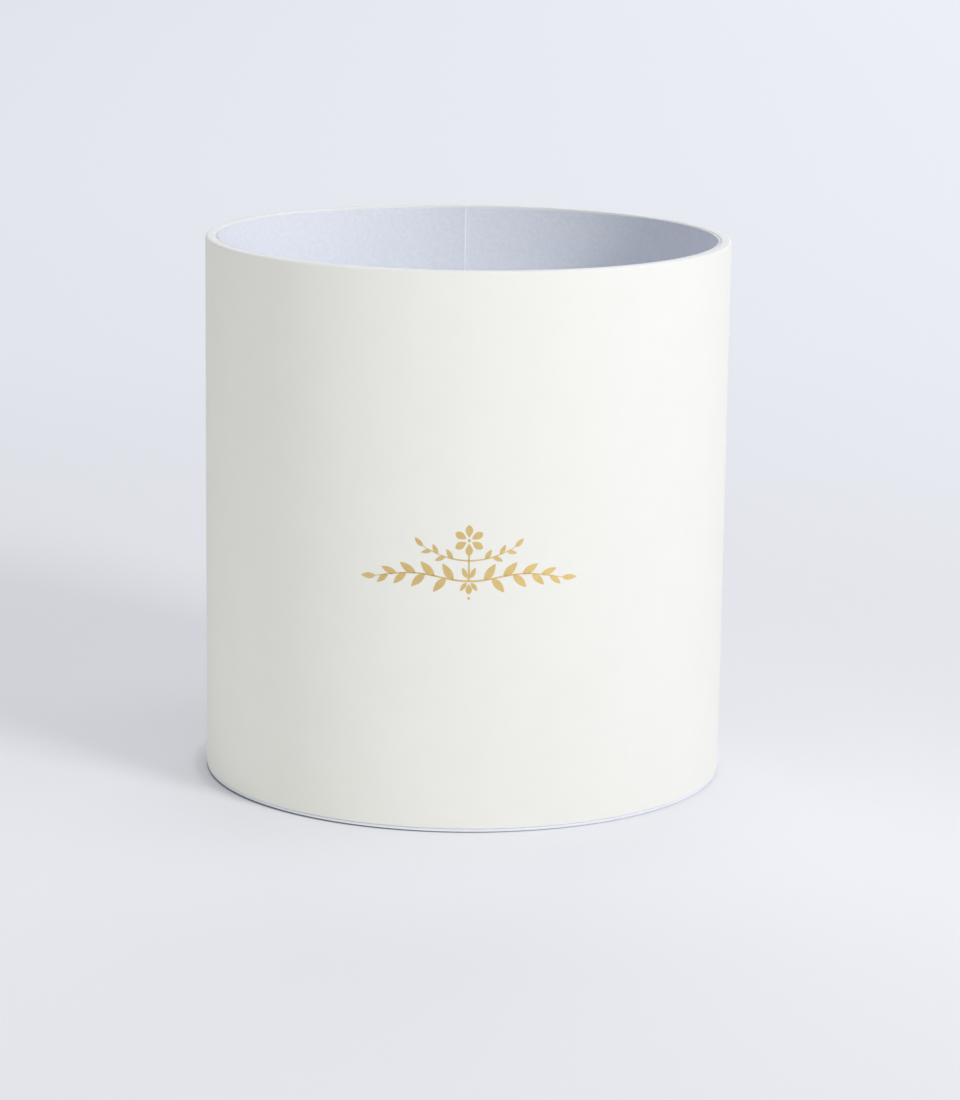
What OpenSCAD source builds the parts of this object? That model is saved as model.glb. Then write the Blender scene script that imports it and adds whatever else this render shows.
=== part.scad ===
// Round rigid flower box without a lid: a paper-covered board wall, a liner that
// stands inside it, a floor let into the wall and a covered base disc under it.
// Millimetres. +Z is up, the front faces -Y and every seam is at the back, +Y.
// The origin is the centre of the underside.

/* [Box] */
// Outside diameter over the covering paper
box_d = 200; // [120:1:320]
// Height from the table to the rim
box_h = 207; // [80:1:360]

/* [Board wall] */
// Thickness of the rolled greyboard wall
wall_t = 3.3; // [2.4:0.1:5]
// Rounding of the board's outer edge at the rim
rim_outer_r = 0.9; // [0.4:0.1:1.2]
// Rounding of the board's inner edge at the rim
rim_inner_r = 0.3; // [0.2:0.1:1]
// Rounding of the board's outer edge at the foot
foot_r = 0.2; // [0.1:0.1:0.8]
// Gap left where the two ends of the board meet
wall_joint_gap = 0.4; // [0.2:0.1:1]
// Width of the paper tape that bridges the joint
tape_w = 30; // [12:1:60]
// Thickness of the paper tape
tape_t = 0.12; // [0.08:0.01:0.15]

/* [Covering paper] */
// Thickness of the covering paper
cover_t = 0.25; // [0.2:0.01:0.4]
// Depth to which the covering paper is turned down inside the rim
turn_down = 16; // [8:1:30]
// Length of the tabs that are turned in under the floor
tab_l = 15; // [8:1:25]
// Number of tabs
tab_count = 32; // [16:1:48]
// Width of the notch between two tabs at their free ends
tab_gap = 1.8; // [0.6:0.1:3]
// Width over which the two ends of the covering paper overlap
cover_lap = 12; // [6:1:25]

/* [Liner] */
// Thickness of the liner card
card_t = 0.6; // [0.4:0.05:2]
// How far the liner stops short of the rim
liner_drop = 0.7; // [0.3:0.1:4]
// Gap left where the two ends of the liner card meet
card_joint_gap = 0.3; // [0.2:0.1:1]
// Thickness of the lining paper
lining_t = 0.15; // [0.12:0.01:0.3]
// Width over which the two ends of the lining paper overlap
lining_lap = 10; // [5:1:25]
// Distance of the lining paper's open edge from the middle of the back
lining_edge_x = -1.1; // [-12:0.1:0]
// Distance of the liner card's joint from the middle of the back
card_joint_x = 0.9; // [0.5:0.1:12]

/* [Floor and base] */
// Thickness of the floor board inside the wall
floor_t = 2; // [1:0.1:4]
// Thickness of the paper on the floor
floor_paper_t = 0.15; // [0.12:0.01:0.3]
// Thickness of the base board under the floor
base_t = 0.9; // [0.8:0.05:3]
// Thickness of the paper round the base board
sole_t = 0.15; // [0.12:0.01:0.3]
// Rounding of the base board's pressed edge
base_edge_r = 0.2; // [0.1:0.05:0.3]
// Height by which the base's edge is drawn up clear of the table
base_rise = 0.5; // [0.2:0.05:0.6]
// Width over which the base's edge is drawn up
base_rise_w = 2.5; // [1:0.1:5]
// How far the base's edge stays inside the wall's outside
base_inset = 0.3; // [0.1:0.1:3]
// Length of the base paper's tabs over the board
sole_tab_l = 13; // [6:1:25]
// Number of the base paper's tabs
sole_tab_count = 28; // [16:1:48]
// Width of the notch between two base tabs at their free ends
sole_tab_gap = 2; // [0.6:0.1:3]

/* [Fits] */
// Thickness of a glue line between paper and board
glue_t = 0.1; // [0.08:0.01:0.15]
// Clearance round the liner and round the floor
slip = 0.1; // [0.08:0.01:0.3]

/* [Hidden] */
$fn = 180;

// Small overlap that lets a cutter pass through a face
over = 0.05;
// Direction of the middle of the back, where the seams are
back = 90;
// Length of the ramp where a sheet climbs over its own other end
ramp_w = 2;

// Radii, from the outside in
cover_r = box_d / 2;
wall_r = cover_r - cover_t - glue_t;
wall_in_r = wall_r - wall_t;
turn_r = wall_in_r - glue_t;
rim_in_r = turn_r - cover_t;
card_r = rim_in_r - slip;
card_in_r = card_r - card_t;
lining_r = card_in_r - glue_t;
lining_in_r = lining_r - lining_t;
floor_r = wall_in_r - 2 * slip;
tape_r = wall_in_r - glue_t;
base_r = cover_r - base_inset;

// Heights, from the table up
base_board_z = sole_t + glue_t;
base_top_z = base_board_z + base_t + glue_t + sole_t;
base_edge_z = min(base_rise, base_t / 2);
cover_z = base_top_z + glue_t;
wall_z = cover_z + cover_t + glue_t;
floor_top_z = wall_z + floor_t;
floor_paper_z = floor_top_z + glue_t;
liner_z = floor_paper_z + floor_paper_t;
wall_top_z = box_h - cover_t - glue_t;
liner_top_z = box_h - liner_drop;
turn_low_z = box_h - turn_down;

greyboard = [0.60, 0.57, 0.52];
kraft = [0.72, 0.60, 0.44];
cream = [0.95, 0.94, 0.90];
pale_blue = [0.84, 0.86, 0.93];
card_white = [0.90, 0.91, 0.95];

// Angle, in degrees, that a width takes up on a circle of the given radius
function arc(w, r) = w / r * 180 / PI;

// Angle of a point on the back of a circle that lies x to the right of its middle
function back_angle(x, r) = back - asin(x / r);

// Point at the given distance and angle from the axis
function polar(r, a) = [r * cos(a), r * sin(a)];

// Waste outside a rounded corner. "out" says which way the corner points.
module corner_waste(corner, out, r) {
    side = r + over;
    translate([corner.x - out.x * r, corner.y - out.y * r])
        difference() {
            translate([min(0, out.x * side), min(0, out.y * side)])
                square(side);
            circle(r);
        }
}

// Half section of a wall, rounded at both top corners and at the outer foot
module wall_section(r_in, r_out, z_low, z_top, top_out_r, top_in_r, foot_out_r) {
    difference() {
        translate([r_in, z_low])
            square([r_out - r_in, z_top - z_low]);
        corner_waste([r_out, z_top], [1, 1], top_out_r);
        corner_waste([r_in, z_top], [-1, 1], top_in_r);
        corner_waste([r_out, z_low], [1, -1], foot_out_r);
    }
}

// Band that follows a circle from one angle to another
module band(r_in, r_out, z_low, z_top, from, to) {
    rotate([0, 0, from])
        rotate_extrude(angle = to - from)
            translate([r_in, z_low])
                square([r_out - r_in, z_top - z_low]);
}

// Plan of a ring
module ring_plan(r_in, r_out) {
    difference() {
        circle(r_out);
        circle(r_in);
    }
}

// Plan of the second layer where a sheet's two ends overlap, on the outside
// (side 1) or the inside (side -1) of a round sheet. It ends in a cut edge at the
// angle "edge" and in a ramp at the other end, where it climbs over the end below.
module overlap_plan(r, t, side, edge, w) {
    turn = edge + arc(w, r);
    end = turn + arc(1.5 * ramp_w, r);
    top_r = r + side * t;
    deep_r = r - side * t / 2;
    rise = 1.5 * t;
    above = top_r + 2 * side * rise;
    difference() {
        intersection() {
            ring_plan(min(top_r, deep_r), max(top_r, deep_r));
            polygon([[0, 0], polar(2 * r, edge), polar(2 * r, end)]);
        }
        rotate(turn)
            polygon([
                [above, -2 * ramp_w],
                [top_r - 3 * side * rise, 3 * ramp_w],
                [above, 3 * ramp_w]
            ]);
    }
}

// Upright slit through a wall, centred on the given angle
module slit(r_in, r_out, z_low, z_top, at, w) {
    rotate([0, 0, at])
        translate([r_in, -w / 2, z_low])
            cube([r_out - r_in, w, z_top - z_low]);
}

// Ring of notches that part a turned-in edge into tabs
module notches(fold_r, free_r, z_low, z_top, count, gap) {
    reach = free_r - 1;
    half = gap / 2 * (fold_r - reach) / (fold_r - free_r);
    for (i = [0 : count - 1])
        rotate([0, 0, back + (i + 0.5) * 360 / count])
            translate([0, 0, z_low])
                linear_extrude(height = z_top - z_low)
                    polygon([[fold_r, 0], [reach, half], [reach, -half]]);
}

module wall_board() {
    color(greyboard)
        difference() {
            rotate_extrude()
                wall_section(wall_in_r, wall_r, wall_z, wall_top_z,
                             rim_outer_r, rim_inner_r, foot_r);
            slit(wall_in_r - 1, wall_r + 1, wall_z - 1, wall_top_z + 1,
                 back, wall_joint_gap);
        }
}

module joint_tape() {
    half = arc(tape_w, tape_r) / 2;
    color(kraft)
        band(tape_r - tape_t, tape_r, floor_top_z + glue_t, turn_low_z - glue_t,
             back - half, back + half);
}

// Section of the covering paper: over the rim, down inside it and under the foot
module cover_section() {
    skin = cover_t + glue_t;
    space_in_r = wall_in_r - glue_t;
    space_z = wall_z - glue_t;
    difference() {
        wall_section(rim_in_r, cover_r, cover_z, box_h,
                     rim_outer_r + skin, rim_inner_r + skin, foot_r + skin);
        wall_section(space_in_r, wall_r + glue_t, space_z, wall_top_z + glue_t,
                     rim_outer_r + glue_t, rim_inner_r + glue_t, foot_r + glue_t);
        translate([rim_in_r - 1, space_z])
            square([wall_in_r + 1 - rim_in_r, turn_low_z - space_z]);
        translate([rim_in_r - 1, cover_z - 1])
            square([space_in_r + 1 - rim_in_r, space_z - cover_z + 2]);
    }
    translate([cover_r - tab_l, cover_z])
        square([tab_l - foot_r - skin, cover_t]);
}

module cover_paper() {
    low = cover_z + foot_r + cover_t + glue_t;
    high = box_h - rim_outer_r - cover_t - glue_t;
    edge = back - arc(cover_lap, cover_r) / 2;
    color(cream) {
        difference() {
            rotate_extrude()
                cover_section();
            notches(cover_r - 2, cover_r - tab_l, cover_z - 1, wall_z,
                    tab_count, tab_gap);
        }
        translate([0, 0, low])
            linear_extrude(height = high - low)
                overlap_plan(cover_r, cover_t, 1, edge, cover_lap);
    }
}

module liner_card() {
    color(card_white)
        difference() {
            rotate_extrude()
                translate([card_in_r, liner_z])
                    square([card_t, liner_top_z - liner_z]);
            slit(card_in_r - 1, card_r + 1, liner_z - 1, liner_top_z + 1,
                 back_angle(card_joint_x, card_in_r), card_joint_gap);
        }
}

module lining_paper() {
    edge = back_angle(lining_edge_x, lining_in_r);
    color(pale_blue)
        translate([0, 0, liner_z])
            linear_extrude(height = liner_top_z - liner_z) {
                ring_plan(lining_in_r, lining_r);
                overlap_plan(lining_in_r, lining_t, -1, edge, lining_lap);
            }
}

module floor_board() {
    color(greyboard)
        translate([0, 0, wall_z])
            cylinder(r = floor_r, h = floor_t);
}

module floor_paper() {
    color(pale_blue)
        translate([0, 0, floor_paper_z])
            cylinder(r = floor_r - slip, h = floor_paper_t);
}

// Half section of a disc with its edge drawn up underneath and rounded on top
module disc_section(r, z_low, z_top, edge_r) {
    difference() {
        polygon([
            [0, z_low],
            [r - base_rise_w, z_low],
            [r, z_low + base_edge_z],
            [r, z_top],
            [0, z_top]
        ]);
        corner_waste([r, z_top], [1, 1], edge_r);
    }
}

module base_board() {
    color(greyboard)
        rotate_extrude()
            disc_section(base_r - sole_t - glue_t, base_board_z,
                         base_board_z + base_t, base_edge_r);
}

// Section of the base paper: under the board, round its edge and back over it
module base_paper_section() {
    difference() {
        disc_section(base_r, 0, base_top_z, base_edge_r + glue_t + sole_t);
        disc_section(base_r - sole_t, sole_t, base_top_z - sole_t, base_edge_r + glue_t);
        translate([-1, sole_t + glue_t])
            square([base_r - sole_tab_l + 1, base_top_z]);
    }
}

module base_paper() {
    color(pale_blue)
        difference() {
            rotate_extrude()
                base_paper_section();
            notches(base_r - 2, base_r - sole_tab_l, base_board_z, base_top_z + 1,
                    sole_tab_count, sole_tab_gap);
        }
}

wall_board();
joint_tape();
cover_paper();
liner_card();
lining_paper();
floor_board();
floor_paper();
base_board();
base_paper();
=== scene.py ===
import math

import bpy
from mathutils import Euler, Matrix, Vector


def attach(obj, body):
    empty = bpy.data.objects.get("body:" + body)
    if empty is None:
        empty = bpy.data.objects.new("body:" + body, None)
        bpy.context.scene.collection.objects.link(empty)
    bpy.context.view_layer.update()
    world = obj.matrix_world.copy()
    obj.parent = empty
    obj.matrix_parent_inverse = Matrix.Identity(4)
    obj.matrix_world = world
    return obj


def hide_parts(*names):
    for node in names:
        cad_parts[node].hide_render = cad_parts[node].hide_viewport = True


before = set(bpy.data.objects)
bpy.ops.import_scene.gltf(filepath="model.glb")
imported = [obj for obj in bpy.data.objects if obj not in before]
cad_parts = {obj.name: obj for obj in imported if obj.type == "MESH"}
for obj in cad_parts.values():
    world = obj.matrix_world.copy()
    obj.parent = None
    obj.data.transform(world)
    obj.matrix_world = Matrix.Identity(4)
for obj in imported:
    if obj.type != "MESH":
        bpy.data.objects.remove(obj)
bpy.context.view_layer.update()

MM = 0.001

# ---------------------------------------------------------------- sizes of the box
# Outside size, the three boards, a layer of glue, and the play of a piece that slides in
BOX_D = 200 * MM
BOX_H = 207 * MM
WALL_T = 3.3 * MM
FLOOR_T = 2 * MM
BASE_T = 0.9 * MM
GLUE_T = 0.1 * MM
SLIP = 0.1 * MM

# Covering paper
COVER_T = 0.25 * MM
RIM_OUTER_ROUND = 1.0 * MM
RIM_INNER_ROUND = 0.6 * MM
FOOT_ROUND = 0.3 * MM
TURN_DOWN = 16 * MM
TAB_L = 15 * MM
TAB_COUNT = 32
TAB_GAP = 1.8 * MM
COVER_LAP = 12 * MM
LAP_RAMP = 2 * MM
LAP_OVER_FOOT = 1.3 * MM
LAP_UNDER_RIM = 2.2 * MM

# Liner: its card and the lining paper on it. The card's joint and the paper's open edge are
# measured from the middle of the back, to the right as seen from the front.
CARD_T = 0.6 * MM
CARD_JOINT_X = 0.9 * MM
CARD_JOINT_GAP = 0.3 * MM
CARD_EDGE_ROUND = 0.1 * MM
LINING_T = 0.15 * MM
LINING_EDGE_X = -1.1 * MM
LINER_DROP = 0.25 * MM
LINER_DIP = 1.0 * MM
DIP_SLOPE = 1.76 * MM
DIP_LEAN = 0.1 * MM
LINER_SPARE = 1 * MM

# The lining's free end, which stands off, and the crease over the card's joint
LAP_LIFT = 0.6 * MM
LAP_EDGE_LIFT = 0.25 * MM
LAP_LIP = 0.35 * MM
LAP_CURVE = 14 * MM
CREASE_W = 0.4 * MM
CREASE_DEPTH = 0.02 * MM

# Floor paper and base paper
FLOOR_PAPER_T = 0.15 * MM
FLOOR_RINGS = (1.3 * MM, 2 * MM, 16 * MM, 24 * MM, 24 * MM)
FLOOR_EDGE_ROUND = 0.04 * MM
SOLE_T = 0.15 * MM
BASE_INSET = 0.3 * MM
BASE_ROUND = 0.45 * MM
BASE_RISE = 0.33 * MM
BASE_RISE_W = 2.5 * MM
BASE_LIP_ROUND = 0.12 * MM
SOLE_RING_W = 30 * MM
SOLE_TAB_L = 13 * MM
SOLE_TAB_COUNT = 28
SOLE_TAB_GAP = 2 * MM

# Notches between tabs: how far they start inside the fold, and how far a cutter passes
# through the sheet
NOTCH_START = 2 * MM
CUTTER_SPARE = 1 * MM

# The foil ornament on the front of the wall
FOIL_T = 0.03 * MM
FOIL_LIFT = 0.015 * MM
ORNAMENT_X = 1.6 * MM
GARLAND_Z = 94.5 * MM
BLOSSOM_Z = 109.5 * MM
STEM_L = 34.5 * MM
TWIG_L = 17 * MM
LEAF_L = 8.6 * MM
LEAF_HALF_W = 1.75 * MM
PETAL_L = 4.6 * MM
PETAL_HALF_W = 1.35 * MM
PETAL_COUNT = 6
PETAL_RING_R = 1.15 * MM
BERRY_L = 1.5 * MM
THINNEST = 0.01 * MM
TWIG_UNDER_BLOSSOM = 7.4 * MM
STALK_LOW = 0.2 * MM
STALK_UNDER_BLOSSOM = 5.5 * MM
PRESS_FROM = 10 * MM
LEAF_BEND = 0.9 * MM
STEM_BOW = 2.6 * MM
STEM_DROOP = 0.85
TWIG_BOW = 5.2 * MM

# How far along a leaf or petal is widest, and how blunt it is: lower is blunter
LEAF_SWELLING = (0.85, 0.9)
PETAL_SWELLING = (1.25, 0.75)

# Half width of a stalk at its root, and how much of that it loses to its tip
STEM_TAPER = (0.36 * MM, 0.2 * MM)
TWIG_TAPER = (0.3 * MM, 0.16 * MM)
STALK_TAPER = (0.4 * MM, 0.12 * MM)

# Leaves along a stem or twig: share of its length, turn in degrees, size
STEM_LEAVES_ABOVE = ((0.16, 50, 0.84), (0.36, 40, 0.84), (0.56, 27, 0.78), (0.76, 16, 0.68))
STEM_LEAVES_BELOW = ((0.24, -42, 0.80), (0.46, -38, 0.80), (0.66, -38, 0.72), (0.85, -34, 0.6))
TWIG_LEAVES_ABOVE = ((0.34, 50, 0.5), (0.66, 56, 0.48))
TWIG_LEAVES_BELOW = ((0.5, -16, 0.48), (0.8, -4, 0.44))
TIP = 0.98
STEM_TIP_LEAF = (-8, 0.62)
TWIG_TIP_LEAF = (40, 0.5)

# Round the stem's middle, from there across and up: turn in degrees, size, and for leaves
# which way they bend
MIDDLE_LEAVES = ((0.5 * MM, 1.2 * MM, 58, 0.5, 1), (0.7 * MM, -0.6 * MM, -46, 0.46, -1))
HANGING_PETAL = (0, -1.0 * MM, -90, 0.85)
HANGING_BERRY = (-0.5 * MM, -6.3 * MM, 0, 0.7)
EYE_X = -0.6 * MM
EYE_SIZE = 0.8

# Worked out from the sizes above: radii from the outside in, then heights from the table up
COVER_R = BOX_D / 2
WALL_IN_R = COVER_R - COVER_T - GLUE_T - WALL_T
RIM_IN_R = WALL_IN_R - GLUE_T - COVER_T
CARD_R = RIM_IN_R - SLIP
LINING_R = CARD_R - CARD_T - GLUE_T - LINING_T
FLOOR_PAPER_R = WALL_IN_R - 3 * SLIP
BASE_R = COVER_R - BASE_INSET
BASE_TOP = BASE_T + 2 * (SOLE_T + GLUE_T)
COVER_LOW = BASE_TOP + GLUE_T
WALL_LOW = COVER_LOW + COVER_T + GLUE_T
FLOOR_PAPER_LOW = WALL_LOW + FLOOR_T + GLUE_T
LINER_LOW = FLOOR_PAPER_LOW + FLOOR_PAPER_T
LINER_TOP = BOX_H - LINER_DROP

# Making: corners of a round sheet, the width of a knife cut, and the distances within which
# two places are one. BACK is the direction of the middle of the back, where the seams are.
SIDES = 360
CUT_W = 0.04 * MM
NEAR = 0.01 * MM
SAME_POINT = 0.002 * MM
BACK = 90

# In degrees: what counts as on an upright line or on the cut edge, and how far from the
# middle of the back, or past a lap, a sheet is cut
ON_LINE = 0.004
ON_CUT_EDGE = 0.04
JOINT_SPAN = 4
COVER_SPAN = 8
LINING_SPAN = 10

# ---------------------------------------------------------------- camera, floor and light
CAMERA_PLACE = (0, -1.39794, 0.38675)
LOOK_DOWN = 12.2
LOOK_RIGHT = 0.243
LEVEL_TURN = 0.748
SENSOR_W = 36
LENS = 120.66
SEEN_FROM = 0.05
SEEN_TO = 40

# The floor in metres, and the glowing ground tone that it fades into, which is painted light and
# shade
FLOOR_R = 9
FLOOR_SIDES = 96
SHADE_MIDDLE = (-4 * MM, 0)
SHADE_FROM = 98.5 * MM
SHADE_TO = 103.5 * MM
# Painted contact shadow: the floor is darkened round the box's foot, fully inside the first
# distance from a middle moved to the front left, and not at all past the second
PAINTED_SHADOW_MIDDLE = (-2.1 * MM, -2.1 * MM)
PAINTED_SHADOW_FROM = 96.9 * MM
PAINTED_SHADOW_TO = 98.2 * MM
NEAR_SHARE = 0.3
FADE_FROM = 0.25
FADE_TO = 1.1
FLOOR_FRONT = -0.4
FLOOR_BACK = 4.6
FLOOR_COLOUR = (0.907, 0.911, 0.95)
# Next, the dark colour of the painted contact shadow
FLOOR_PAINTED_SHADOW = (0.33, 0.335, 0.385)
FLOOR_BOUNCE = (0.87, 0.87, 0.86)
GROUND_TINT = (0.959, 0.987, 1.054)

# The painted light and shade of the floor's glow: its tone at places along the floor's depth,
# lower just behind the box where its shadow falls, and how fast it grows to the right there, from
# SLOPE_LOW at 0 to SLOPE_HIGH at 1. It never grows or falls by more than ASLANT_MOST.
GROUND_PAINTED_TONE = ((-0.4, 0.794), (-0.26, 0.855), (-0.14, 0.89), (0.0, 0.755),
               (0.2, 0.762), (0.45, 0.81), (0.9, 0.816), (1.8, 0.83),
               (3.2, 0.832), (4.6, 0.832))
GROUND_PAINTED_SLOPE = ((-0.4, 0.042), (-0.26, 0.122), (-0.14, 0.27), (0.0, 0.0),
                (0.2, 0.338), (0.45, 0.865), (0.9, 0.761), (1.8, 0.696),
                (3.2, 0.653), (4.6, 0.646))
SLOPE_LOW = -0.1
SLOPE_HIGH = 0.15
ASLANT_MOST = 0.05

# Lamps stand at one distance and face the box's middle; the low one stands by the floor
LAMP_DISTANCE = 2.4
AIM_HEIGHT = 0.1
LOW_LAMP_HEIGHT = 0.115
LOW_AIM_HEIGHT = 0.11
AIR_COLOUR = (0.985, 0.987, 1)
AIR_LIGHT = 0.3
BACKDROP_COLOUR = (0.797, 0.820, 0.876)


def set_up_camera():
    """A long lens, 1.4 m in front of the box and a little above its rim."""
    bpy.ops.object.camera_add(location=CAMERA_PLACE)
    camera = bpy.context.object
    camera.name = "camera"
    down, right, level = (math.radians(turn) for turn in (LOOK_DOWN, LOOK_RIGHT, LEVEL_TURN))
    aim = Euler((math.pi / 2 - down, 0, -right)).to_matrix() @ Matrix.Rotation(level, 3, "Z")
    camera.rotation_euler = aim.to_euler()
    camera.data.sensor_width = SENSOR_W
    camera.data.lens = LENS
    camera.data.clip_start = SEEN_FROM
    camera.data.clip_end = SEEN_TO
    bpy.context.scene.camera = camera
    bpy.context.scene.view_settings.view_transform = "Standard"


# ---------------------------------------------------------------- hand tools
def clear_selection():
    """Leaves edit mode and selects nothing."""
    if bpy.context.object and bpy.context.object.mode != "OBJECT":
        bpy.ops.object.mode_set(mode="OBJECT")
    bpy.ops.object.select_all(action="DESELECT")


def hold(piece):
    """Selects one piece only and makes it the active one."""
    clear_selection()
    piece.select_set(True)
    bpy.context.view_layer.objects.active = piece


def name_piece(name):
    """Names the new piece and settles its place into its mesh."""
    piece = bpy.context.object
    piece.name = piece.data.name = name
    bpy.ops.object.transform_apply(location=True, rotation=True, scale=True)
    return piece


def pick(piece, kind, test):
    """Selects the vertices, edges or faces that pass a test of their place."""
    bpy.ops.object.mode_set(mode="EDIT")
    bpy.ops.mesh.select_mode(type=kind)
    bpy.ops.mesh.select_all(action="DESELECT")
    bpy.ops.object.mode_set(mode="OBJECT")
    mesh = piece.data
    if kind == "VERT":
        for vertex in mesh.vertices:
            vertex.select = test(vertex.co)
    elif kind == "EDGE":
        for edge in mesh.edges:
            edge.select = all(test(mesh.vertices[i].co) for i in edge.vertices)
    else:
        for face in mesh.polygons:
            face.select = test(face.center)
    bpy.ops.object.mode_set(mode="EDIT")


def settle(piece):
    """Merges a piece's doubles and turns its faces outwards."""
    hold(piece)
    bpy.ops.object.mode_set(mode="EDIT")
    bpy.ops.mesh.select_mode(type="VERT")
    bpy.ops.mesh.select_all(action="SELECT")
    bpy.ops.mesh.remove_doubles(threshold=SAME_POINT)
    bpy.ops.mesh.normals_make_consistent(inside=False)
    bpy.ops.object.mode_set(mode="OBJECT")


def thicken(piece, thickness, side):
    """Gives a sheet its thickness, on the side its faces point to (1) or away (-1)."""
    hold(piece)
    solid = piece.modifiers.new("thickness", "SOLIDIFY")
    solid.thickness = thickness
    solid.offset = side
    solid.use_even_offset = True
    bpy.ops.object.modifier_apply(modifier=solid.name)


def soften_edges(piece, width):
    """Takes the sharpness off cut edges."""
    hold(piece)
    soft = piece.modifiers.new("soft_edges", "BEVEL")
    soft.width = width
    soft.segments = 2
    soft.limit_method = "ANGLE"
    soft.angle_limit = math.radians(40)
    soft.use_clamp_overlap = True
    bpy.ops.object.modifier_apply(modifier=soft.name)


def smooth(piece, degrees=35):
    """Shades a piece smooth, but keeps folds sharper than an angle."""
    hold(piece)
    bpy.ops.object.shade_smooth_by_angle(angle=math.radians(degrees))


def round_sheet(name, radius, low, high):
    """A sheet rolled into an open tube."""
    clear_selection()
    bpy.ops.mesh.primitive_cylinder_add(
        vertices=SIDES, radius=radius, depth=high - low, end_fill_type="NOTHING",
        location=(0, 0, (low + high) / 2))
    return name_piece(name)


def pick_ring(piece, height, radius):
    """Selects the ring edge of a sheet at this height and radius."""
    pick(piece, "EDGE", lambda co: abs(co.z - height) < NEAR
         and abs(math.hypot(co.x, co.y) - radius) < NEAR)


def turn_in(piece, height, radius, new_radius):
    """Folds the sheet's ring edge at this height and radius over to a new radius."""
    pick_ring(piece, height, radius)
    bpy.ops.mesh.extrude_edges_move()
    share = new_radius / radius
    bpy.ops.transform.resize(value=(share, share, 1), center_override=(0, 0, height))


def turn_down(piece, height, radius, depth):
    """Folds the sheet's ring edge straight down by a depth."""
    pick_ring(piece, height, radius)
    bpy.ops.mesh.extrude_edges_move()
    bpy.ops.transform.translate(value=(0, 0, -depth))


def round_fold(piece, height, radius, amount, steps):
    """Rounds the fold that runs round the sheet at this height and radius."""
    pick_ring(piece, height, radius)
    bpy.ops.mesh.bevel(offset=amount, offset_type="OFFSET", segments=steps, profile=0.5,
                       affect="EDGES", clamp_overlap=False)


def degrees_of(co):
    """Direction of a place as seen from the axis."""
    return math.degrees(math.atan2(co.y, co.x))


def arc(width, radius):
    """Degrees that a width takes up on a circle."""
    return math.degrees(width / radius)


def score_upright(piece, angle, span):
    """Cuts an upright line into the back of a sheet, at an angle round the axis."""
    turn = math.radians(angle)
    pick(piece, "FACE", lambda co: co.y > 0 and abs(degrees_of(co) - BACK) < span)
    bpy.ops.mesh.bisect(plane_co=(0, 0, 0), plane_no=(-math.sin(turn), math.cos(turn), 0))


def score_level(piece, height, span):
    """Cuts a level line into the back of a sheet."""
    pick(piece, "FACE", lambda co: co.y > 0 and abs(degrees_of(co) - BACK) < span)
    bpy.ops.mesh.bisect(plane_co=(0, 0, height), plane_no=(0, 0, 1))


def lay_over(piece, radius, lift, edge, width, ramp, low, high):
    """Raises the part of a sheet that lies over its own other end: a cut edge on one
    side, and on the other a ramp where the sheet climbs."""
    step = arc(CUT_W, radius)
    turn = edge + arc(width, radius)
    end = turn + arc(ramp, radius)
    span = end - BACK + JOINT_SPAN
    for angle in (edge - step, edge, turn, end):
        score_upright(piece, angle, span)
    share = (radius + lift) / radius
    margin = step / 4
    pick(piece, "VERT", lambda co: edge - margin < degrees_of(co) < turn + margin
         and low - NEAR < co.z < high + NEAR
         and abs(math.hypot(co.x, co.y) - radius) < 2 * NEAR)
    bpy.ops.transform.resize(value=(share, share, 1), center_override=(0, 0, 0))


def notch_cutter(name, count, outer_r, tab_l, gap, low, high):
    """A ring of thin wedges, one for each notch between two tabs."""
    fold_r = outer_r - NOTCH_START
    free_r = outer_r - tab_l
    reach = free_r - CUTTER_SPARE
    half = gap / 2 * (fold_r - reach) / (fold_r - free_r)
    clear_selection()
    bpy.ops.mesh.primitive_cylinder_add(vertices=3, radius=CUTTER_SPARE, depth=high - low,
                                        location=(0, 0, (low + high) / 2))
    wedge = name_piece(name)
    old_places = sorted((vertex.co.copy() for vertex in wedge.data.vertices), key=degrees_of)
    new_places = [(fold_r, 0), (reach, half), (reach, -half)]
    for old, new in zip(old_places[::2], new_places):
        pick(wedge, "VERT", lambda co: (co.xy - old.xy).length < NEAR)
        bpy.ops.transform.translate(value=(new[0] - old.x, new[1] - old.y, 0))
        bpy.ops.object.mode_set(mode="OBJECT")
    settle(wedge)
    wedges = []
    for i in range(count):
        copy = wedge.copy()
        copy.data = wedge.data.copy()
        copy.rotation_euler = (0, 0, math.radians(BACK + (i + 0.5) * 360 / count))
        bpy.context.scene.collection.objects.link(copy)
        wedges.append(copy)
    hold(wedges[0])
    for copy in wedges:
        copy.select_set(True)
    bpy.ops.object.join()
    cutter = bpy.context.object
    bpy.ops.object.transform_apply(location=True, rotation=True, scale=True)
    bpy.data.objects.remove(wedge)
    return cutter


def cut_notches(piece, cutter):
    """Takes the cutter's wedges out of a sheet and throws the cutter away."""
    hold(piece)
    cut = piece.modifiers.new("notches", "BOOLEAN")
    cut.operation = "DIFFERENCE"
    cut.solver = "EXACT"
    cut.object = cutter
    bpy.ops.object.modifier_apply(modifier=cut.name)
    bpy.data.objects.remove(cutter)


# ---------------------------------------------------------------- finishes
def new_finish(name):
    """A new finish with its nodes, its links and its main shader."""
    finish = bpy.data.materials.new(name)
    finish.use_nodes = True
    nodes = finish.node_tree.nodes
    return finish, nodes, finish.node_tree.links, nodes["Principled BSDF"]


def own_place(nodes, links, scale=(1, 1, 1)):
    """The piece's own coordinates in metres, stretched by a scale."""
    place = nodes.new("ShaderNodeTexCoord")
    mapping = nodes.new("ShaderNodeMapping")
    mapping.inputs["Scale"].default_value = scale
    links.new(place.outputs["Object"], mapping.inputs["Vector"])
    return mapping.outputs["Vector"]


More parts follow.
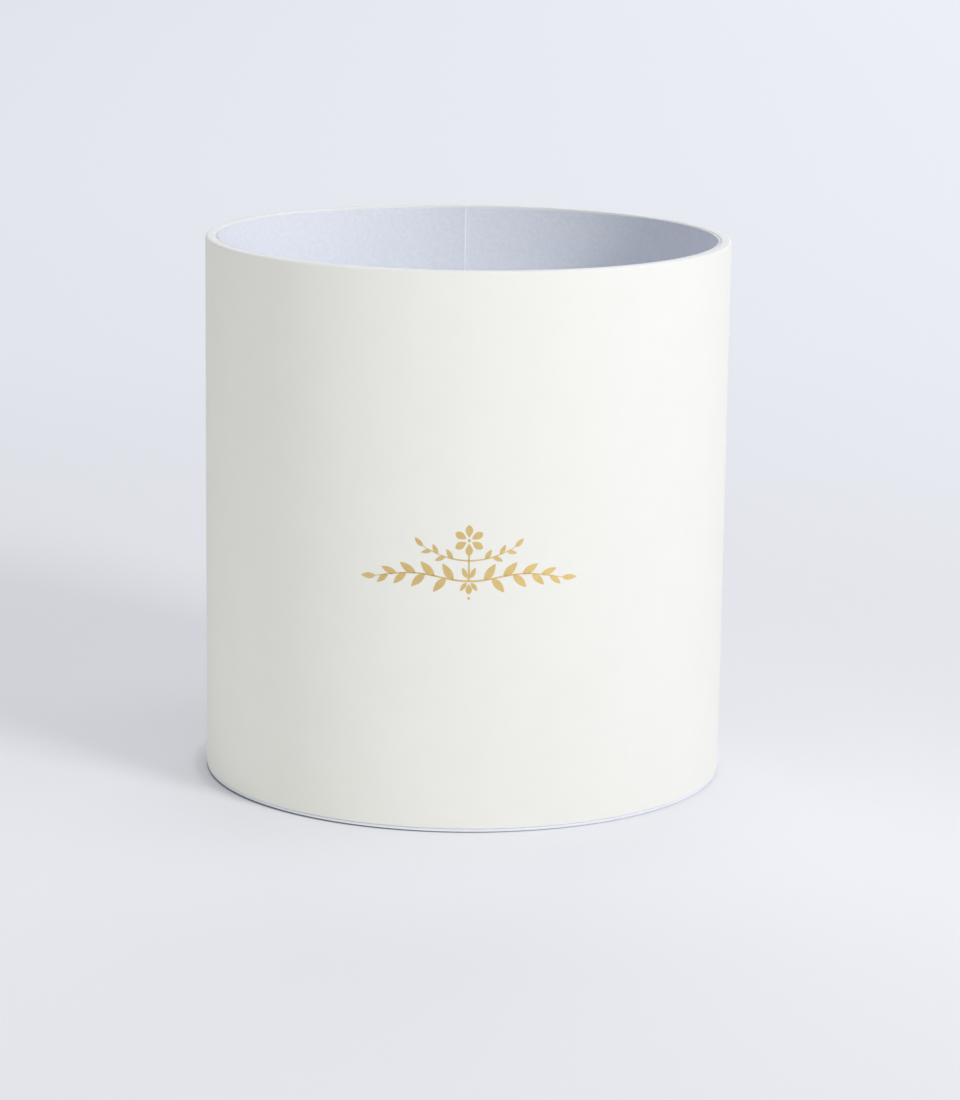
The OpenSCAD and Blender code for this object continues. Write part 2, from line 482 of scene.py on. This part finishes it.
def grain(nodes, links, vector, per_metre, detail, roughness):
    """Noise with this many grains to the metre."""
    noise = nodes.new("ShaderNodeTexNoise")
    noise.inputs["Scale"].default_value = per_metre
    noise.inputs["Detail"].default_value = detail
    noise.inputs["Roughness"].default_value = roughness
    links.new(vector, noise.inputs["Vector"])
    return noise.outputs["Fac"]


def spread(nodes, links, value, low, high, to_low=0.0, to_high=1.0):
    """Maps a value from one range to another."""
    change = nodes.new("ShaderNodeMapRange")
    change.inputs["From Min"].default_value = low
    change.inputs["From Max"].default_value = high
    change.inputs["To Min"].default_value = to_low
    change.inputs["To Max"].default_value = to_high
    links.new(value, change.inputs["Value"])
    return change.outputs["Result"]


def blend_colours(nodes, links, share, first, second):
    """Goes from the first colour to the second with a share."""
    mix = nodes.new("ShaderNodeMix")
    mix.data_type = "RGBA"
    links.new(share, mix.inputs["Factor"])
    for socket, colour in ((mix.inputs[6], first), (mix.inputs[7], second)):
        if isinstance(colour, tuple):
            socket.default_value = (*colour, 1)
        else:
            links.new(colour, socket)
    return mix.outputs[2]


def combine(nodes, links, operation, first, second):
    """Adds, multiplies or compares two values."""
    math_node = nodes.new("ShaderNodeMath")
    math_node.operation = operation
    for socket, value in zip(math_node.inputs, (first, second)):
        if isinstance(value, (int, float)):
            socket.default_value = value
        else:
            links.new(value, socket)
    return math_node.outputs["Value"]


def raise_grain(nodes, links, shader, height, depth, strength):
    """Bump of this depth in metres."""
    bump = nodes.new("ShaderNodeBump")
    bump.inputs["Strength"].default_value = strength
    bump.inputs["Distance"].default_value = depth
    links.new(height, bump.inputs["Height"])
    links.new(bump.outputs["Normal"], shader.inputs["Normal"])


def paper_finish(name, pale, deep, roughness, mottle_per_metre, fibre_per_metre, depth,
                 felt=0.0):
    """Uncoated paper: soft mottle, fine fibres lying every way, a matt skin. A felted paper
    is uneven with its mottle as well, by this many times the depth of its fibres."""
    finish, nodes, links, shader = new_finish(name)
    place = own_place(nodes, links)
    cloud = grain(nodes, links, place, mottle_per_metre, 3.0, 0.6)
    fibre = grain(nodes, links, place, fibre_per_metre, 2.0, 0.7)
    tone = combine(nodes, links, "ADD",
                   spread(nodes, links, cloud, 0.35, 0.65, 0.0, 0.7),
                   spread(nodes, links, fibre, 0.3, 0.7, 0.0, 0.3))
    links.new(blend_colours(nodes, links, tone, pale, deep), shader.inputs["Base Color"])
    links.new(spread(nodes, links, fibre, 0.3, 0.7, roughness - 0.05, roughness + 0.05),
              shader.inputs["Roughness"])
    shader.inputs["Specular IOR Level"].default_value = 0.3
    height = combine(nodes, links, "ADD", fibre, combine(nodes, links, "MULTIPLY", cloud, felt))
    raise_grain(nodes, links, shader, height, depth, 0.5)
    return finish


def greyboard_finish():
    """Pressed waste board: grey-brown with dark and pale flecks."""
    finish, nodes, links, shader = new_finish("greyboard_flecked")
    place = own_place(nodes, links)
    cloud = grain(nodes, links, place, 140, 4.0, 0.65)
    fleck = grain(nodes, links, place, 1400, 1.0, 0.4)
    ground = blend_colours(nodes, links, spread(nodes, links, cloud, 0.35, 0.65),
                           (0.34, 0.30, 0.25), (0.25, 0.22, 0.18))
    dark = blend_colours(nodes, links, spread(nodes, links, fleck, 0.62, 0.72),
                         ground, (0.09, 0.08, 0.07))
    pale = blend_colours(nodes, links, spread(nodes, links, fleck, 0.36, 0.28),
                         dark, (0.55, 0.52, 0.46))
    links.new(pale, shader.inputs["Base Color"])
    shader.inputs["Roughness"].default_value = 0.9
    shader.inputs["Specular IOR Level"].default_value = 0.2
    raise_grain(nodes, links, shader, cloud, 0.06 * MM, 0.6)
    return finish


def kraft_finish():
    """Gummed brown tape with long fibres along the strip."""
    finish, nodes, links, shader = new_finish("kraft_fibrous")
    long_fibre = grain(nodes, links, own_place(nodes, links, (1, 1, 0.12)), 1800, 2.0, 0.6)
    cloud = grain(nodes, links, own_place(nodes, links), 90, 2.0, 0.5)
    tone = combine(nodes, links, "MULTIPLY", long_fibre, cloud)
    links.new(blend_colours(nodes, links, spread(nodes, links, tone, 0.15, 0.35),
                            (0.52, 0.36, 0.20), (0.38, 0.25, 0.13)),
              shader.inputs["Base Color"])
    shader.inputs["Roughness"].default_value = 0.6
    shader.inputs["Specular IOR Level"].default_value = 0.35
    raise_grain(nodes, links, shader, long_fibre, 0.02 * MM, 0.5)
    return finish


def card_edge_finish():
    """White-lined card with fine plies that show at its cut edge."""
    finish, nodes, links, shader = new_finish("card_cut_edge")
    ply = grain(nodes, links, own_place(nodes, links), 2600, 2.0, 0.7)
    patch = grain(nodes, links, own_place(nodes, links), 160, 2.0, 0.5)
    tone = combine(nodes, links, "ADD", spread(nodes, links, ply, 0.3, 0.7, 0.0, 0.6),
                   spread(nodes, links, patch, 0.35, 0.65, 0.0, 0.4))
    links.new(blend_colours(nodes, links, tone, (0.87, 0.885, 0.935), (0.78, 0.80, 0.865)),
              shader.inputs["Base Color"])
    shader.inputs["Roughness"].default_value = 0.75
    shader.inputs["Specular IOR Level"].default_value = 0.25
    raise_grain(nodes, links, shader, ply, 0.03 * MM, 0.6)
    return finish


def foil_finish():
    """Hot-stamped gold foil: satin, taking the paper's grain."""
    finish, nodes, links, shader = new_finish("gold_foil_satin")
    place = own_place(nodes, links)
    fibre = grain(nodes, links, place, 2600, 2.0, 0.6)
    rub = grain(nodes, links, place, 300, 3.0, 0.6)
    links.new(blend_colours(nodes, links, spread(nodes, links, rub, 0.35, 0.65),
                            (0.78, 0.59, 0.255), (0.73, 0.54, 0.23)),
              shader.inputs["Base Color"])
    shader.inputs["Metallic"].default_value = 1.0
    links.new(spread(nodes, links, rub, 0.3, 0.7, 0.5, 0.58), shader.inputs["Roughness"])
    raise_grain(nodes, links, shader, fibre, 0.02 * MM, 0.35)
    return finish


def wear(piece, *finishes):
    """Gives a piece its finishes."""
    piece.data.materials.clear()
    for finish in finishes:
        piece.data.materials.append(finish)


# ---------------------------------------------------------------- the pieces
def make_cover():
    """The covering paper: up the wall, over the rim, down inside it, and under the foot."""
    cover = round_sheet("covering_paper", COVER_R, COVER_LOW, BOX_H)
    turn_in(cover, BOX_H, COVER_R, RIM_IN_R)
    turn_down(cover, BOX_H, RIM_IN_R, TURN_DOWN)
    turn_in(cover, COVER_LOW, COVER_R, COVER_R - TAB_L)
    round_fold(cover, BOX_H, COVER_R, RIM_OUTER_ROUND, steps=8)
    round_fold(cover, BOX_H, RIM_IN_R, RIM_INNER_ROUND, steps=6)
    round_fold(cover, COVER_LOW, COVER_R, FOOT_ROUND, steps=5)
    settle(cover)
    edge = BACK - arc(COVER_LAP, COVER_R) / 2
    low = COVER_LOW + LAP_OVER_FOOT
    high = BOX_H - LAP_UNDER_RIM
    for height in (low, high):
        score_level(cover, height, COVER_SPAN)
    lay_over(cover, COVER_R, COVER_T, edge, COVER_LAP, LAP_RAMP, low, high)
    settle(cover)
    thicken(cover, COVER_T, -1)
    cut_notches(cover, notch_cutter("tab_notches", TAB_COUNT, COVER_R, TAB_L, TAB_GAP,
                                    COVER_LOW - CUTTER_SPARE, WALL_LOW))
    smooth(cover)
    return cover


def trim_top(piece):
    """Cuts a liner sheet's top edge level, and lower in a shallow dip at the back."""
    dip_height = BOX_H - LINER_DIP + DIP_SLOPE
    for height, aslant, slope in ((LINER_TOP, 0, 0), (dip_height, -DIP_LEAN, DIP_SLOPE)):
        pick(piece, "FACE", lambda co: True)
        bpy.ops.mesh.bisect(plane_co=(0, 0, height), clear_outer=True,
                            plane_no=(aslant / CARD_R, slope / CARD_R, 1))


def make_liner_card():
    """The liner's card: an open joint at the back and a cut edge at the top."""
    card = round_sheet("liner_card_tube", CARD_R - CARD_T, LINER_LOW, LINER_TOP + LINER_SPARE)
    middle = BACK - math.degrees(math.asin(CARD_JOINT_X / (CARD_R - CARD_T)))
    half = arc(CARD_JOINT_GAP, CARD_R) / 2
    for angle in (middle - half, middle + half):
        score_upright(card, angle, JOINT_SPAN)
    pick(card, "FACE", lambda co: co.y > 0 and abs(degrees_of(co) - middle) < half)
    bpy.ops.mesh.delete(type="FACE")
    trim_top(card)
    settle(card)
    thicken(card, CARD_T, 1)
    soften_edges(card, CARD_EDGE_ROUND)
    smooth(card)
    return card


def lift_lap(piece, edge, lip):
    """Lets the sheet's free end stand off: it rises in a slow curve up to the lip and falls
    back from there to its cut edge."""
    margin = arc(CUT_W / 2, LINING_R)
    end = lip + arc(LAP_CURVE, LINING_R)
    lap = piece.vertex_groups.new(name="lap")
    bpy.ops.object.mode_set(mode="OBJECT")
    for vertex in piece.data.vertices:
        angle = degrees_of(vertex.co)
        if not edge - margin < angle < end:
            continue
        share = min(1.0, (end - angle) / (end - lip)) ** 2
        if angle < lip - margin:
            share = LAP_EDGE_LIFT / LAP_LIFT
        lap.add([vertex.index], share, "REPLACE")
    hold(piece)
    rise = piece.modifiers.new("rise", "DISPLACE")
    rise.vertex_group = lap.name
    rise.mid_level = 0
    rise.strength = -LAP_LIFT
    bpy.ops.object.modifier_apply(modifier=rise.name)


def press_line(piece, radius, angle, new_radius):
    """Moves one upright line of a sheet in or out to a new radius."""
    pick(piece, "VERT", lambda co: abs(degrees_of(co) - angle) < ON_LINE
         and abs(math.hypot(co.x, co.y) - radius) < 2 * NEAR)
    share = new_radius / radius
    bpy.ops.transform.resize(value=(share, share, 1), center_override=(0, 0, 0))


def make_lining():
    """The lining paper: one end lies over the other and stands off a little at its pale cut
    edge. The joint of the card behind it shows through as a fine crease."""
    lining = round_sheet("lining_sheet", LINING_R, LINER_LOW, LINER_TOP + LINER_SPARE)
    edge = BACK - math.degrees(math.asin(LINING_EDGE_X / LINING_R))
    lip = edge + arc(LAP_LIP, LINING_R)
    for angle in (edge - arc(CUT_W, LINING_R), edge, lip):
        score_upright(lining, angle, LINING_SPAN)
    lift_lap(lining, edge, lip)
    crease = BACK - math.degrees(math.asin(CARD_JOINT_X / LINING_R))
    half = arc(CREASE_W, LINING_R) / 2
    for angle in (crease - half, crease, crease + half):
        score_upright(lining, angle, JOINT_SPAN)
    press_line(lining, LINING_R, crease, LINING_R + CREASE_DEPTH)
    trim_top(lining)
    settle(lining)
    thicken(lining, LINING_T, 1)
    for face in lining.data.polygons:
        if face.center.y > 0 and edge - ON_CUT_EDGE < degrees_of(face.center) < lip:
            face.material_index = 1
    smooth(lining, 25)
    return lining


def make_floor_paper():
    """The disc of paper on the floor, under the liner's foot."""
    clear_selection()
    bpy.ops.mesh.primitive_circle_add(vertices=SIDES // 2, radius=FLOOR_PAPER_R, fill_type="NGON",
                                      location=(0, 0, FLOOR_PAPER_LOW + FLOOR_PAPER_T))
    paper = name_piece("floor_paper_disc")
    bpy.ops.object.mode_set(mode="EDIT")
    bpy.ops.mesh.select_mode(type="FACE")
    bpy.ops.mesh.select_all(action="SELECT")
    for width in FLOOR_RINGS:
        bpy.ops.mesh.inset(thickness=width)
    settle(paper)
    thicken(paper, FLOOR_PAPER_T, -1)
    soften_edges(paper, FLOOR_EDGE_ROUND)
    smooth(paper)
    return paper


def make_base_cover():
    """The paper under the base board, drawn up at its edge and back over it in tabs."""
    clear_selection()
    bpy.ops.mesh.primitive_cylinder_add(vertices=SIDES, radius=BASE_R, depth=BASE_TOP,
                                        end_fill_type="NGON", location=(0, 0, BASE_TOP / 2))
    cover = name_piece("base_cover_paper")
    pick(cover, "FACE", lambda co: co.z > BASE_TOP - NEAR)
    bpy.ops.mesh.inset(thickness=SOLE_TAB_L)
    bpy.ops.mesh.delete(type="FACE")
    pick(cover, "FACE", lambda co: co.z < NEAR)
    for width in (BASE_RISE_W, SOLE_RING_W, SOLE_RING_W):
        bpy.ops.mesh.inset(thickness=width)
    pick(cover, "VERT", lambda co: co.z < NEAR and math.hypot(co.x, co.y) > BASE_R - NEAR)
    bpy.ops.transform.translate(value=(0, 0, BASE_RISE))
    round_fold(cover, BASE_TOP, BASE_R, BASE_ROUND, steps=4)
    round_fold(cover, BASE_RISE, BASE_R, BASE_LIP_ROUND, steps=3)
    settle(cover)
    thicken(cover, SOLE_T, -1)
    cut_notches(cover, notch_cutter("sole_notches", SOLE_TAB_COUNT, BASE_R, SOLE_TAB_L,
                                    SOLE_TAB_GAP, BASE_TOP - 2 * SOLE_T, BASE_TOP + CUTTER_SPARE))
    smooth(cover)
    return cover


def foil_strip(name, length, columns, middle, half_width):
    """A flat strip of foil along X, shaped column by column to a middle line and a width."""
    clear_selection()
    bpy.ops.mesh.primitive_grid_add(x_subdivisions=columns, y_subdivisions=2, size=1,
                                    location=(0.5 * length, 0, 0))
    strip = bpy.context.object
    strip.scale = (length, 1, 1)
    strip = name_piece(name)
    for i in range(columns + 1):
        share = i / columns
        x = share * length
        pick(strip, "VERT", lambda co: abs(co.x - x) < NEAR)
        bpy.ops.transform.resize(value=(1, 2 * half_width(share), 1), center_override=(x, 0, 0))
        bpy.ops.transform.translate(value=(0, middle(share), 0))
    settle(strip)
    return strip


def place_foil(strip, x, z, turn, size=1.0, flip=1):
    """A copy of a foil strip, turned and sized on the flat."""
    copy = strip.copy()
    copy.data = strip.data.copy()
    bpy.context.scene.collection.objects.link(copy)
    copy.location = (x, z, 0)
    copy.rotation_euler = (0, 0, math.radians(turn))
    copy.scale = (size, size * flip, 1)
    return copy


def stem_height(share):
    """The stem leaves the middle level, rises in a long bow and droops to its tip."""
    return STEM_BOW * math.sin(STEM_DROOP * math.pi * share) ** 2


def twig_height(share):
    """The twig curves up to its tip."""
    return TWIG_BOW * share * share


def taper(share, root_and_loss):
    """Half width of a stalk that grows thinner towards its tip."""
    root, loss = root_and_loss
    return root - loss * share


def swelling(share, widest_and_blunt):
    """A leaf's or petal's swelling: 0 at both ends and 1 where it is widest."""
    widest, blunt = widest_and_blunt
    return max(0.0, math.sin(math.pi * share ** widest)) ** blunt


def make_ornament(wall):
    """A flat spray of leaves under one small blossom, pressed onto the wall."""
    leaf = foil_strip("leaf", LEAF_L, 14, lambda t: LEAF_BEND * t * t,
                      lambda t: LEAF_HALF_W * swelling(t, LEAF_SWELLING) + THINNEST)
    petal = foil_strip("petal", PETAL_L, 10, lambda t: 0.0,
                       lambda t: PETAL_HALF_W * swelling(t, PETAL_SWELLING) + THINNEST)
    berry = foil_strip("berry", BERRY_L, 8, lambda t: 0.0,
                       lambda t: BERRY_L * math.sqrt(max(0.0, t - t * t)) + THINNEST)
    stem = foil_strip("stem", STEM_L, 40, stem_height, lambda t: taper(t, STEM_TAPER))
    twig = foil_strip("twig", TWIG_L, 20, twig_height, lambda t: taper(t, TWIG_TAPER))
    rise = BLOSSOM_Z - GARLAND_Z
    stalk = foil_strip("stalk", rise - STALK_UNDER_BLOSSOM, 8, lambda t: 0.0,
                       lambda t: taper(t, STALK_TAPER))
    parts = []

    def both_sides(strip, x, z, turn, size, flip):
        """Places a strip on the right and its mirror image on the left."""
        parts.append(place_foil(strip, x, z, turn, size, flip))
        parts.append(place_foil(strip, -x, z, 180 - turn, size, -flip))

    both_sides(stem, 0, 0, 0, 1, 1)
    for share, turn, size in STEM_LEAVES_ABOVE:
        both_sides(leaf, share * STEM_L, stem_height(share), turn, size, 1)
    for share, turn, size in STEM_LEAVES_BELOW:
        both_sides(leaf, share * STEM_L, stem_height(share), turn, size, -1)
    both_sides(leaf, TIP * STEM_L, stem_height(TIP), *STEM_TIP_LEAF, 1)

    parts.append(place_foil(stalk, 0, STALK_LOW, 90))
    for middle_leaf in MIDDLE_LEAVES:
        both_sides(leaf, *middle_leaf)
    parts.append(place_foil(petal, *HANGING_PETAL))
    parts.append(place_foil(berry, *HANGING_BERRY))

    twig_z = rise - TWIG_UNDER_BLOSSOM
    both_sides(twig, 0, twig_z, 0, 1, 1)
    for share, turn, size in TWIG_LEAVES_ABOVE:
        both_sides(leaf, share * TWIG_L, twig_z + twig_height(share), turn, size, 1)
    for share, turn, size in TWIG_LEAVES_BELOW:
        both_sides(leaf, share * TWIG_L, twig_z + twig_height(share), turn, size, -1)
    both_sides(leaf, TIP * TWIG_L, twig_z + twig_height(TIP), *TWIG_TIP_LEAF, 1)

    for i in range(PETAL_COUNT):
        turn = 90 + 360 / PETAL_COUNT * i
        x = PETAL_RING_R * math.cos(math.radians(turn))
        z = rise + PETAL_RING_R * math.sin(math.radians(turn))
        parts.append(place_foil(petal, x, z, turn))
    parts.append(place_foil(berry, EYE_X, rise, 0, EYE_SIZE))

    hold(parts[0])
    for part in parts:
        part.select_set(True)
    bpy.ops.object.join()
    ornament = bpy.context.object
    for spare in (leaf, petal, berry, stem, twig, stalk):
        bpy.data.objects.remove(spare)
    return lay_on_wall(ornament, wall)


def lay_on_wall(ornament, wall):
    """Stands the flat foil up in front of the wall and presses it onto the paper."""
    hold(ornament)
    ornament.name = ornament.data.name = "foil_ornament"
    bpy.ops.object.transform_apply(location=True, rotation=True, scale=True)
    ornament.rotation_euler = (math.pi / 2, 0, 0)
    ornament.location = (ORNAMENT_X, -COVER_R - PRESS_FROM, GARLAND_Z)
    bpy.ops.object.transform_apply(location=True, rotation=True, scale=True)
    settle(ornament)
    press = ornament.modifiers.new("press", "SHRINKWRAP")
    press.target = wall
    press.wrap_method = "PROJECT"
    press.use_project_y = True
    press.use_positive_direction = True
    press.use_negative_direction = False
    press.wrap_mode = "ON_SURFACE"
    bpy.ops.object.modifier_apply(modifier=press.name)
    press_out(ornament)
    thicken(ornament, FOIL_T, 1)
    smooth(ornament)
    return ornament


def press_out(ornament):
    """Turns the foil's faces away from the wall and lifts it a hair off the paper."""
    bpy.ops.object.mode_set(mode="EDIT")
    bpy.ops.mesh.select_mode(type="FACE")
    bpy.ops.mesh.select_all(action="SELECT")
    bpy.ops.object.mode_set(mode="OBJECT")
    for face in ornament.data.polygons:
        face.select = face.normal.y > 0
    bpy.ops.object.mode_set(mode="EDIT")
    bpy.ops.mesh.flip_normals()
    bpy.ops.mesh.select_all(action="SELECT")
    share = (COVER_R + FOIL_LIFT) / COVER_R
    bpy.ops.transform.resize(value=(share, share, 1), center_override=(0, 0, 0))
    bpy.ops.object.mode_set(mode="OBJECT")


# ---------------------------------------------------------------- floor and light
def looked_at(nodes, links):
    """1 where the ground is seen straight, in a gloss or through glass, 0 where it is only lit."""
    ray = nodes.new("ShaderNodeLightPath")
    mirrored = combine(nodes, links, "MAXIMUM", ray.outputs["Is Glossy Ray"],
                       ray.outputs["Is Transmission Ray"])
    return combine(nodes, links, "MAXIMUM", ray.outputs["Is Camera Ray"], mirrored)


def graded(nodes, links, depth, stops):
    """A grey value from 0 to 1 that changes softly from stop to stop of the floor's depth."""
    share = spread(nodes, links, depth, FLOOR_FRONT, FLOOR_BACK)
    ramp = nodes.new("ShaderNodeValToRGB")
    ramp.color_ramp.interpolation = "CARDINAL"
    marks = ramp.color_ramp.elements
    while len(marks) < len(stops):
        marks.new(0.5)
    for mark, (y, value) in zip(marks, stops):
        mark.position = (y - FLOOR_FRONT) / (FLOOR_BACK - FLOOR_FRONT)
        mark.color = (value, value, value, 1)
    links.new(share, ramp.inputs["Fac"])
    return ramp.outputs["Color"]


def painted_floor_light(nodes, links, place):
    """The ground's glow, painted light and shade: its tone graded along the floor's depth and
    brighter or darker to the right.
    """
    parts = nodes.new("ShaderNodeSeparateXYZ")
    links.new(place, parts.inputs["Vector"])
    tone = graded(nodes, links, parts.outputs["Y"], GROUND_PAINTED_TONE)
    slope = spread(nodes, links, graded(nodes, links, parts.outputs["Y"], GROUND_PAINTED_SLOPE),
                   0, 1, SLOPE_LOW, SLOPE_HIGH)
    aslant = combine(nodes, links, "MULTIPLY", parts.outputs["X"], slope)
    kept = spread(nodes, links, aslant, -ASLANT_MOST, ASLANT_MOST, -ASLANT_MOST, ASLANT_MOST)
    tone = combine(nodes, links, "ADD", tone, kept)
    return blend_colours(nodes, links, tone, (0, 0, 0), GROUND_TINT)


def soft_ring(nodes, links, place, middle, start, end, most):
    """A value that grows from 0 to its most between two distances from a middle."""
    around = nodes.new("ShaderNodeVectorMath")
    around.operation = "DISTANCE"
    links.new(place, around.inputs[0])
    around.inputs[1].default_value = (*middle, 0)
    ring = spread(nodes, links, around.outputs["Value"], start, end, 0.0, most)
    ring.node.interpolation_type = "SMOOTHSTEP"
    return ring


def make_floor():
    """A wide pale floor that holds the box's shadow, with a painted contact shadow close round its
    foot, and fades further out into a glowing ground of painted light and shade.
    """
    clear_selection()
    bpy.ops.mesh.primitive_circle_add(vertices=FLOOR_SIDES, radius=FLOOR_R, fill_type="NGON",
                                      location=(0, 0, 0))
    floor = name_piece("studio_floor")
    finish, nodes, links, shader = new_finish("studio_floor_pale")
    seen = looked_at(nodes, links)
    place = own_place(nodes, links)
    # Painted contact shadow: where the camera looks, the floor turns dark close round the box's
    # foot
    painted_shadow_ring = soft_ring(nodes, links, place, PAINTED_SHADOW_MIDDLE, PAINTED_SHADOW_FROM, PAINTED_SHADOW_TO, 1)
    floor_with_painted_shadow = blend_colours(nodes, links, painted_shadow_ring, FLOOR_PAINTED_SHADOW, FLOOR_COLOUR)
    links.new(blend_colours(nodes, links, seen, FLOOR_BOUNCE, floor_with_painted_shadow), shader.inputs["Base Color"])
    shader.inputs["Roughness"].default_value = 0.9
    shader.inputs["Specular IOR Level"].default_value = 0.0
    fade = soft_ring(nodes, links, place, (0, 0), FADE_FROM, FADE_TO, 1 - NEAR_SHARE)
    shade = soft_ring(nodes, links, place, SHADE_MIDDLE, SHADE_FROM, SHADE_TO, NEAR_SHARE)
    share = combine(nodes, links, "ADD", fade, shade)
    # The floor's glow is painted light and shade seen by the camera, weak near the box and full
    # far out
    painted_glow = nodes.new("ShaderNodeEmission")
    links.new(painted_floor_light(nodes, links, place), painted_glow.inputs["Color"])
    ground = nodes.new("ShaderNodeMixShader")
    links.new(combine(nodes, links, "MULTIPLY", share, seen), ground.inputs["Fac"])
    links.new(shader.outputs["BSDF"], ground.inputs[1])
    links.new(painted_glow.outputs["Emission"], ground.inputs[2])
    links.new(ground.outputs["Shader"], nodes["Material Output"].inputs["Surface"])
    wear(floor, finish)
    return floor


def soft_lamp(name, width, height, power, place, aim_height, colour):
    """A soft lamp that faces the box."""
    clear_selection()
    bpy.ops.object.light_add(type="AREA", location=place)
    lamp = bpy.context.object
    lamp.name = name
    lamp.data.shape = "RECTANGLE"
    lamp.data.size = width
    lamp.data.size_y = height
    lamp.data.energy = power
    lamp.data.color = colour
    towards = Vector((0, 0, aim_height)) - Vector(place)
    lamp.rotation_euler = towards.to_track_quat("-Z", "Y").to_euler()
    return lamp


def stand(turn, rise):
    """A lamp's place at an angle to the right of the front, above the box by another angle."""
    around = math.radians(turn)
    up = math.radians(rise)
    return (LAMP_DISTANCE * math.sin(around) * math.cos(up),
            -LAMP_DISTANCE * math.cos(around) * math.cos(up),
            LAMP_DISTANCE * math.sin(up) + AIM_HEIGHT)


def low_stand(turn):
    """A lamp's place close to the floor, at an angle to the right of the front."""
    around = math.radians(turn)
    return (LAMP_DISTANCE * math.sin(around), -LAMP_DISTANCE * math.cos(around), LOW_LAMP_HEIGHT)


def set_up_light():
    """A dim even air, a pale backdrop that is only seen, and five soft lamps."""
    world = bpy.data.worlds.new("studio_air")
    bpy.context.scene.world = world
    world.use_nodes = True
    nodes, links = world.node_tree.nodes, world.node_tree.links
    air = nodes["Background"]
    air.inputs["Color"].default_value = (*AIR_COLOUR, 1)
    air.inputs["Strength"].default_value = AIR_LIGHT
    backdrop = nodes.new("ShaderNodeBackground")
    backdrop.inputs["Color"].default_value = (*BACKDROP_COLOUR, 1)
    backdrop.inputs["Strength"].default_value = 1.0
    either = nodes.new("ShaderNodeMixShader")
    links.new(looked_at(nodes, links), either.inputs["Fac"])
    links.new(air.outputs["Background"], either.inputs[1])
    links.new(backdrop.outputs["Background"], either.inputs[2])
    links.new(either.outputs["Shader"], nodes["World Output"].inputs["Surface"])
    soft_lamp("key_right", width=0.6, height=0.6, power=26.3, place=stand(45.5, 27),
              aim_height=AIM_HEIGHT, colour=(1.03, 1.02, 1.0))
    soft_lamp("side_right", width=1.2, height=1.2, power=7.9, place=stand(100, 14),
              aim_height=AIM_HEIGHT, colour=(1.01, 0.99, 0.99))
    low_left = soft_lamp("low_left", width=1.8, height=0.2, power=13.0, place=low_stand(-45),
                         aim_height=LOW_AIM_HEIGHT, colour=(1.04, 1.04, 0.90))
    low_left.visible_glossy = False
    soft_lamp("behind", width=1.4, height=1.4, power=11.0, place=stand(175, 40),
              aim_height=AIM_HEIGHT, colour=(0.985, 1, 1.06))
    soft_lamp("above", width=1.6, height=1.6, power=13.0, place=stand(0, 88),
              aim_height=AIM_HEIGHT, colour=(1.0, 1.02, 1.07))


# ---------------------------------------------------------------- putting it together
set_up_camera()

cover_paper = paper_finish("cream_cover_paper",
                           pale=(0.853, 0.860, 0.845), deep=(0.838, 0.845, 0.829), roughness=0.6,
                           mottle_per_metre=60, fibre_per_metre=2400, depth=0.02 * MM)
lining_paper = paper_finish("blue_white_lining_paper",
                            pale=(0.908, 0.938, 0.998), deep=(0.849, 0.882, 0.962), roughness=0.8,
                            mottle_per_metre=600, fibre_per_metre=2600, depth=0.03 * MM,
                            felt=10.0)
base_paper = paper_finish("violet_white_base_paper",
                          pale=(0.830, 0.860, 0.965), deep=(0.795, 0.825, 0.935), roughness=0.8,
                          mottle_per_metre=700, fibre_per_metre=2600, depth=0.03 * MM)
cut_paper = paper_finish("lining_cut_edge",
                         pale=(0.90, 0.92, 0.96), deep=(0.86, 0.885, 0.93), roughness=0.8,
                         mottle_per_metre=900, fibre_per_metre=3000, depth=0.02 * MM)
card_edge = card_edge_finish()
greyboard = greyboard_finish()
kraft = kraft_finish()
foil = foil_finish()

cover = make_cover()
wear(cover, cover_paper)
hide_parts("cover_paper")

liner = make_liner_card()
wear(liner, card_edge)
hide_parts("liner_card")

lining = make_lining()
wear(lining, lining_paper, cut_paper)
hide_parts("lining_paper")

floor_paper = make_floor_paper()
wear(floor_paper, lining_paper)
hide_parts("floor_paper")

base_cover = make_base_cover()
wear(base_cover, base_paper)
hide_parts("base_paper")

ornament = make_ornament(cover)
wear(ornament, foil)

for piece in (cover, liner, lining, floor_paper, base_cover, ornament):
    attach(piece, "root")

for node, finish in (("wall_board", greyboard), ("floor_board", greyboard),
                     ("base_board", greyboard), ("joint_tape", kraft)):
    wear(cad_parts[node], finish)

make_floor()
set_up_light()

clear_selection()
